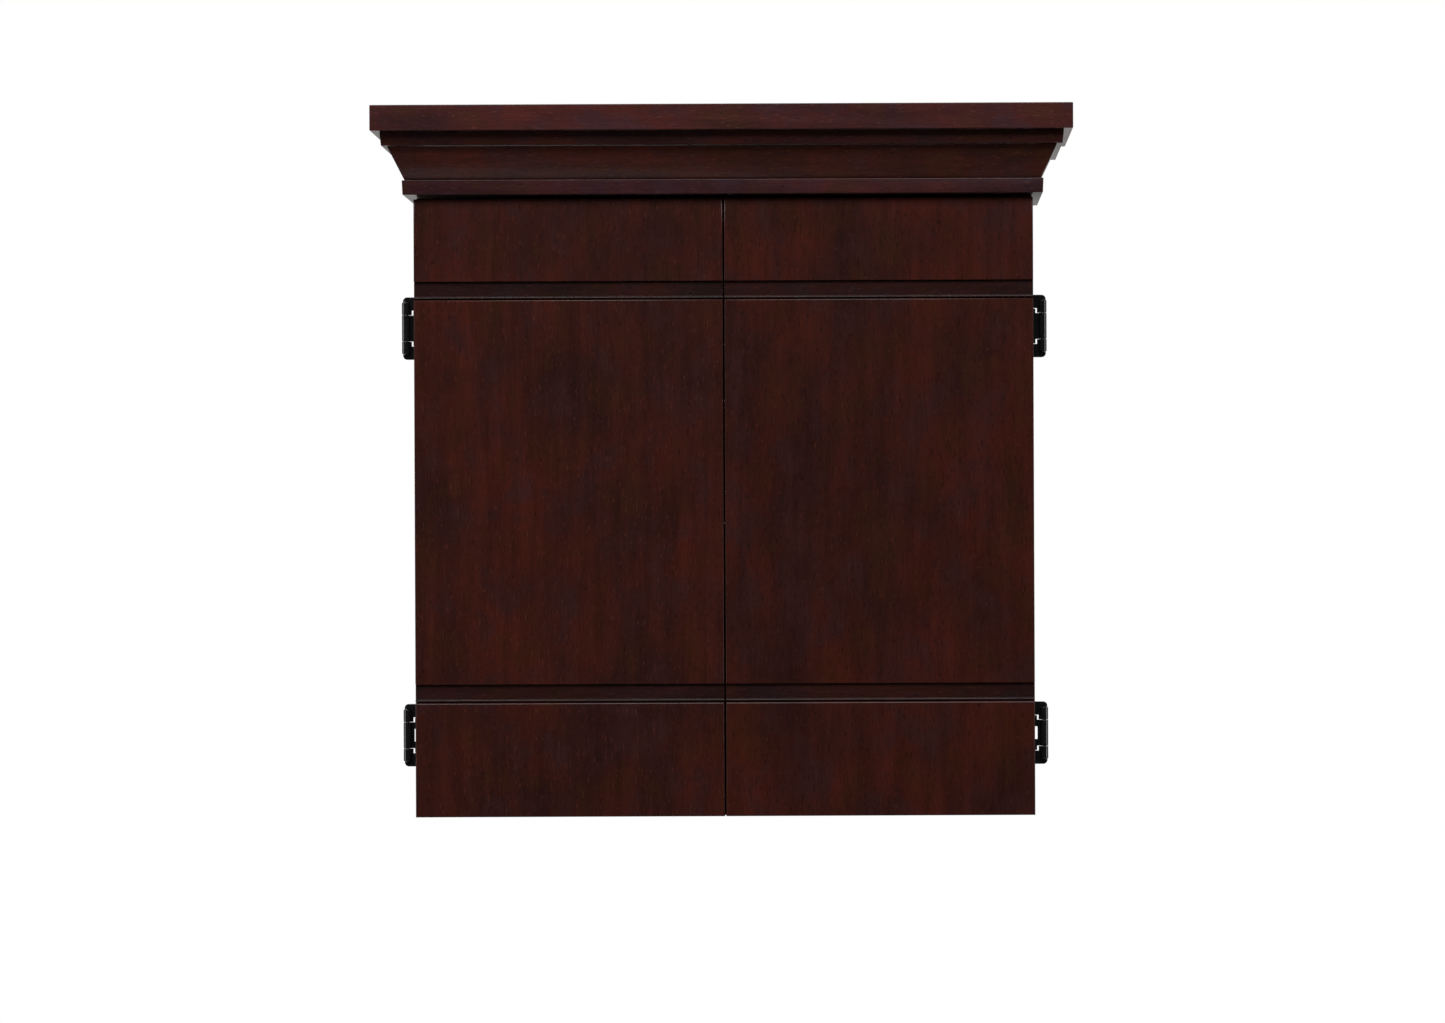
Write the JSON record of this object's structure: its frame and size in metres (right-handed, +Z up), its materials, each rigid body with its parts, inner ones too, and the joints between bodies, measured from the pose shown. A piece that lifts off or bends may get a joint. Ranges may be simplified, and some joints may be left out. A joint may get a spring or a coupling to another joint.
{
  "type": "dart board cabinet",
  "caption": "Wall cabinet with a stepped crown and two banded slab doors on side hinges, closing over a bristle dart board with scoreboards and dart racks inside the doors.",
  "frame": {"origin": "on the wall plane at the cabinet's back, straight behind the centre of the dart board", "axes": "+Z up, X along the wall, -Y out of the wall towards the player, so the doors face -Y"},
  "size_m": [0.6832, 0.161, 0.694],
  "materials": {
    "mahogany_lacquer": "dark mahogany stain under satin lacquer",
    "case_interior": "dark stained wood, thin lacquer",
    "back_panel": "plain stained board",
    "black_hinge": "black electroplated steel",
    "cork": "pressed cork sheet",
    "bristle": "compressed sisal fibre, dyed in segments",
    "chipboard": "raw particle board",
    "board_steel": "bright steel wire",
    "black_band": "black steel strip",
    "zinc_steel": "zinc plated",
    "chalkboard": "matt writing surface",
    "pad_rubber": "moulded rubber",
    "catch_plastic": "brown moulded plastic"
  },
  "bodies": {
    "cabinet": {"left_side_panel": "mahogany_lacquer", "right_side_panel": "mahogany_lacquer", "case_top_panel": "mahogany_lacquer", "case_bottom_panel": "mahogany_lacquer", "back_panel": "back_panel", "upper_hanging_rail": "case_interior", "lower_hanging_rail": "case_interior", "cork_backboard": "cork", "crown_base_board": "mahogany_lacquer", "crown_slope_front": "mahogany_lacquer", "crown_slope_left": "mahogany_lacquer", "crown_slope_right": "mahogany_lacquer", "crown_fillet_front": "mahogany_lacquer", "crown_fillet_left": "mahogany_lacquer", "crown_fillet_right": "mahogany_lacquer", "crown_cap_board": "mahogany_lacquer", "dartboard_backing_disc": "chipboard", "dartboard_bristle": "bristle", "dartboard_steel_band": "black_band", "dartboard_spider": "board_steel", "dartboard_bull_ring": "board_steel", "dartboard_number_ring": "board_steel", "dartboard_hanging_screw": "zinc_steel", "dartboard_bracket": "zinc_steel", "board_standoff_pad_1": "pad_rubber", "board_standoff_pad_2": "pad_rubber", "board_standoff_pad_3": "pad_rubber", "left_magnetic_catch": "catch_plastic", "right_magnetic_catch": "catch_plastic", "left_upper_hinge_case_leaf": "black_hinge", "left_upper_hinge_pin": "black_hinge", "left_lower_hinge_case_leaf": "black_hinge", "left_lower_hinge_pin": "black_hinge", "right_upper_hinge_case_leaf": "black_hinge", "right_upper_hinge_pin": "black_hinge", "right_lower_hinge_case_leaf": "black_hinge", "right_lower_hinge_pin": "black_hinge"},
    "left_door": {"left_door_panel": "mahogany_lacquer", "left_upper_trim": "mahogany_lacquer", "left_lower_trim": "mahogany_lacquer", "left_scoreboard": "chalkboard", "left_scoreboard_frame": "mahogany_lacquer", "left_dart_rack": "mahogany_lacquer", "left_strike_plate": "zinc_steel", "left_upper_hinge_door_leaf": "black_hinge", "left_lower_hinge_door_leaf": "black_hinge"},
    "right_door": {"right_door_panel": "mahogany_lacquer", "right_upper_trim": "mahogany_lacquer", "right_lower_trim": "mahogany_lacquer", "right_scoreboard": "chalkboard", "right_scoreboard_frame": "mahogany_lacquer", "right_dart_rack": "mahogany_lacquer", "right_strike_plate": "zinc_steel", "right_upper_hinge_door_leaf": "black_hinge", "right_lower_hinge_door_leaf": "black_hinge"}
  },
  "joints": [
    {"name": "left_door_hinge", "type": "hinge", "parent": "cabinet", "child": "left_door", "pos_m": [-0.3135, -0.10555, 0], "axis": [0, 0, -1], "range_deg": [0, 180]},
    {"name": "right_door_hinge", "type": "hinge", "parent": "cabinet", "child": "right_door", "pos_m": [0.3135, -0.10555, 0], "axis": [0, 0, 1], "range_deg": [0, 180]}
  ]
}
